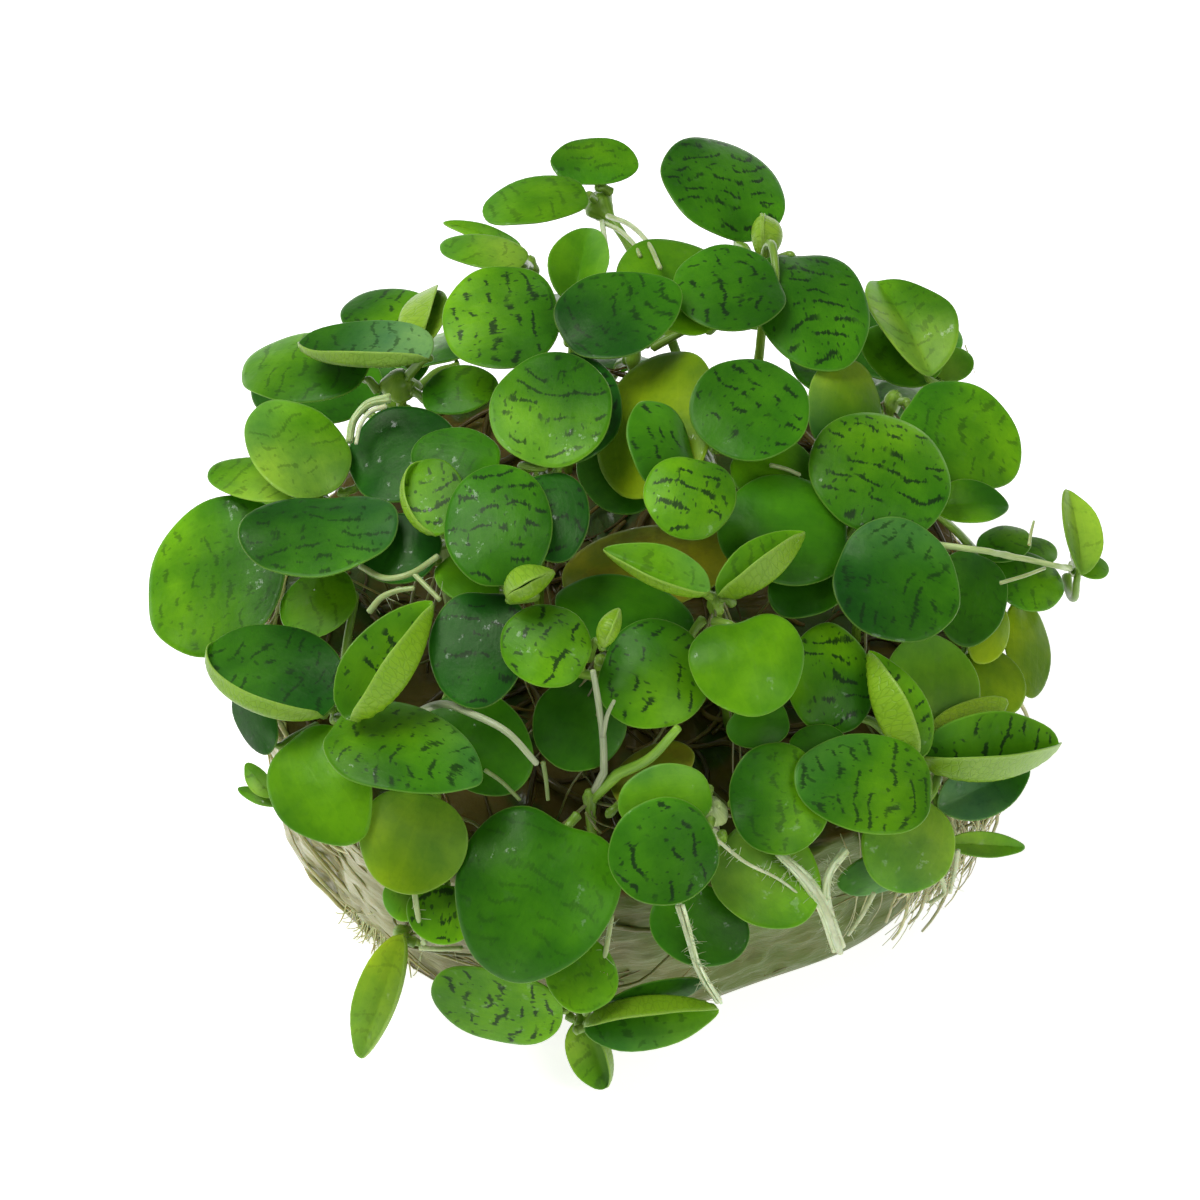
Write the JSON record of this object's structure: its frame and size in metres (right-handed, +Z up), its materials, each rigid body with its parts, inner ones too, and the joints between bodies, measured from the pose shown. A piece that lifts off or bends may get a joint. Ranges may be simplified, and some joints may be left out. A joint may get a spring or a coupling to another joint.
{
  "type": "amazon frogbit",
  "caption": "Dense clump of small floating-plant rosettes, round striped leaves on short stalks above a low cup-shaped mass of fine roots.",
  "frame": {"origin": "middle of the flat underside of the root mass, on the surface that the clump rests on", "axes": "+Z up, -Y towards the viewer of the picture, +X to the viewer's right"},
  "size_m": [0.0987, 0.0993, 0.0574],
  "materials": {
    "leaf": "glossy wet leaf",
    "stem": "smooth wet stem",
    "root": "wet matted roots"
  },
  "bodies": {
    "root": {"back_far_left_rosette": "stem", "back_left_leaf_33": "leaf", "back_left_rosette": "stem", "back_middle_leaf_09": "leaf", "back_middle_leaf_11": "leaf", "back_middle_rosette": "stem", "back_right_leaf_06": "leaf", "back_right_leaf_08": "leaf", "back_right_leaf_12": "leaf", "back_right_rosette": "stem", "back_tall_rosette": "stem", "centre_leaf_21": "leaf", "centre_leaf_24": "leaf", "centre_left_leaf_25": "leaf", "centre_left_rosette": "stem", "centre_rosette": "stem", "far_right_leaf_13": "leaf", "far_right_rosette": "stem", "front_leaf_76": "leaf", "front_left_leaf_84": "leaf", "front_left_rosette": "stem", "front_right_leaf_77": "leaf", "front_right_rosette": "stem", "front_rosette": "stem", "heart_leaf_49": "leaf", "heart_rosette": "stem", "inner_left_rosette": "stem", "left_front_leaf_42": "leaf", "left_front_leaf_43": "leaf", "left_front_leaf_82": "leaf", "left_front_leaf_83": "leaf", "left_front_rosette": "stem", "left_leaf_37": "leaf", "left_leaf_39": "leaf", "left_rosette": "stem", "low_front_left_rosette": "stem", "low_front_right_rosette": "stem", "low_front_rosette": "stem", "low_left_rosette": "stem", "low_right_rosette": "stem", "mid_left_leaf_28": "leaf", "mid_left_leaf_44": "leaf", "mid_left_rosette": "stem", "middle_leaf_45": "leaf", "middle_leaf_48": "leaf", "middle_rosette": "stem", "outlier_rosette": "stem", "rear_left_rosette": "stem", "rear_middle_rosette": "stem", "rear_right_rosette": "stem", "right_back_leaf_17": "leaf", "right_back_rosette": "stem", "right_front_leaf_67": "leaf", "right_front_leaf_68": "leaf", "right_front_leaf_70": "leaf", "right_front_rosette": "stem", "right_leaf_18": "leaf", "right_leaf_55": "leaf", "right_rosette": "stem", "root_mass": "root"}
  },
  "joints": []
}
